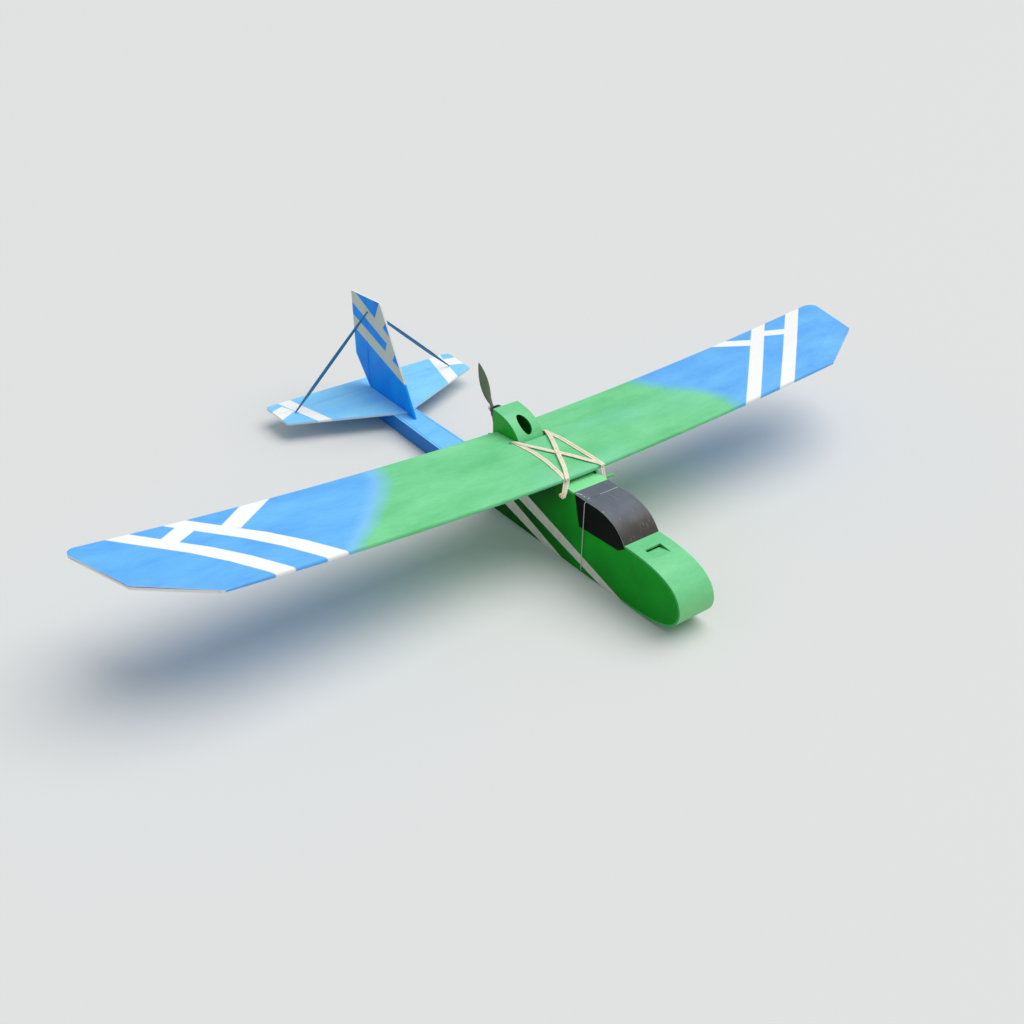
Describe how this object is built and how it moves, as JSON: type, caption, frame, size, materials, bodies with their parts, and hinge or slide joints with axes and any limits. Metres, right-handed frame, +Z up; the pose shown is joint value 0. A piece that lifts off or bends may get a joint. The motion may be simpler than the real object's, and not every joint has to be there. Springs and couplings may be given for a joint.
{
  "type": "rubber band plane",
  "caption": "Foam-board pusher model aircraft: long straight wing strapped on by crossed rubber bands, box fuselage with hinged canopy, motor pod, slim boom and tail with rudder and elevator.",
  "frame": {"origin": "on the ground under the middle of the whole aircraft's bounding box, level with the flat belly", "axes": "+X to the port wing tip, +Y to the tail, +Z up"},
  "size_m": [1.713, 1.111, 0.2912],
  "materials": {
    "green_foam": "satin",
    "light_green_foam": "satin",
    "blue_foam": "satin",
    "bare_foam": "matte",
    "canopy_sheet": "satin",
    "plywood": "matte",
    "dowel_wood": "matte",
    "rubber_bands": "matte",
    "alloy": "satin",
    "motor_can": "satin",
    "copper_windings": "satin",
    "prop_plastic": "satin",
    "white_nylon": "satin",
    "servo_case": "satin",
    "battery_wrap": "satin",
    "black_plastic": "matte",
    "wire_jacket": "matte",
    "aerial_jacket": "satin"
  },
  "bodies": {
    "airframe": {"fuselage_side_starboard": "green_foam", "fuselage_side_port": "green_foam", "fuselage_floor": "green_foam", "fuselage_deck": "light_green_foam", "nose_skin": "light_green_foam", "nose_former": "bare_foam", "deck_former": "bare_foam", "wing_former": "bare_foam", "rear_bulkhead": "bare_foam", "equipment_tray": "plywood", "canopy_rear_strip": "canopy_sheet", "pod_side_starboard": "green_foam", "pod_side_port": "green_foam", "pod_skin": "light_green_foam", "motor_firewall": "plywood", "motor_mount": "alloy", "motor_stator": "copper_windings", "front_dowel": "dowel_wood", "rear_dowel": "dowel_wood", "rubber_band_starboard": "rubber_bands", "rubber_band_port": "rubber_bands", "rubber_band_cross_over": "rubber_bands", "rubber_band_cross_under": "rubber_bands", "wing_top_skin_starboard": "light_green_foam", "wing_top_skin_port": "light_green_foam", "wing_bottom_skin_starboard": "blue_foam", "wing_bottom_skin_port": "blue_foam", "wing_spar_starboard": "bare_foam", "wing_spar_port": "bare_foam", "boom_side_starboard": "blue_foam", "boom_side_port": "blue_foam", "boom_top": "blue_foam", "boom_floor": "blue_foam", "tail_former": "bare_foam", "stabiliser": "blue_foam", "fin": "blue_foam", "brace_starboard": "blue_foam", "brace_port": "blue_foam", "rudder_servo": "servo_case", "elevator_servo": "servo_case", "battery": "battery_wrap", "battery_strap": "black_plastic", "speed_controller": "black_plastic", "receiver": "black_plastic", "antenna_wire": "aerial_jacket", "motor_leads": "wire_jacket", "servo_leads": "wire_jacket"},
    "propeller_group": {"motor_bell": "motor_can", "prop_adapter": "alloy", "propeller": "prop_plastic", "prop_nut": "white_nylon"},
    "rudder_group": {"rudder": "blue_foam", "rudder_horn": "white_nylon"},
    "elevator_group": {"elevator": "blue_foam", "elevator_horn": "white_nylon"},
    "hatch": {"canopy_hatch": "canopy_sheet"},
    "rudder_arm": {"rudder_servo_arm": "white_nylon"},
    "elevator_arm": {"elevator_servo_arm": "white_nylon"},
    "rudder_rod": {"rudder_pushrod": "alloy"},
    "elevator_rod": {"elevator_pushrod": "alloy"}
  },
  "joints": [
    {"name": "propeller_spin", "type": "hinge", "parent": "airframe", "child": "propeller_group", "pos_m": [0, 0.02577, 0.182], "axis": [0, 1, 0], "continuous": true},
    {"name": "rudder_hinge", "type": "hinge", "parent": "airframe", "child": "rudder_group", "pos_m": [0, 0.49447, 0.15], "axis": [0, 0, 1], "range_deg": [-28, 28]},
    {"name": "elevator_hinge", "type": "hinge", "parent": "airframe", "child": "elevator_group", "pos_m": [0, 0.49347, 0.0406], "axis": [1, 0, 0], "range_deg": [-25, 25]},
    {"name": "hatch_hinge", "type": "hinge", "parent": "airframe", "child": "hatch", "pos_m": [0, -0.30168, 0.1531], "axis": [-1, 0, 0], "range_deg": [0, 80]},
    {"name": "rudder_servo_turn", "type": "hinge", "parent": "airframe", "child": "rudder_arm", "pos_m": [0.0092, 0.39447, 0.0679], "axis": [0, 0, 1], "range_deg": [-30, 30]},
    {"name": "elevator_servo_turn", "type": "hinge", "parent": "airframe", "child": "elevator_arm", "pos_m": [0.0407, 0.39447, 0.02], "axis": [1, 0, 0], "range_deg": [-27, 27]},
    {"name": "rudder_rod_pivot", "type": "hinge", "parent": "rudder_group", "child": "rudder_rod", "pos_m": [0.014, 0.49447, 0.0679], "axis": [0, 0, 1], "range_deg": [-30, 30]},
    {"name": "elevator_rod_pivot", "type": "hinge", "parent": "elevator_group", "child": "elevator_rod", "pos_m": [0.0407, 0.49347, 0.0286], "axis": [1, 0, 0], "range_deg": [-27, 27]}
  ],
  "couplings": [
    {"joint": "rudder_servo_turn", "follows": "rudder_hinge", "ratio": 1},
    {"joint": "elevator_servo_turn", "follows": "elevator_hinge", "ratio": 1},
    {"joint": "rudder_rod_pivot", "follows": "rudder_hinge", "ratio": -1},
    {"joint": "elevator_rod_pivot", "follows": "elevator_hinge", "ratio": -1}
  ]
}
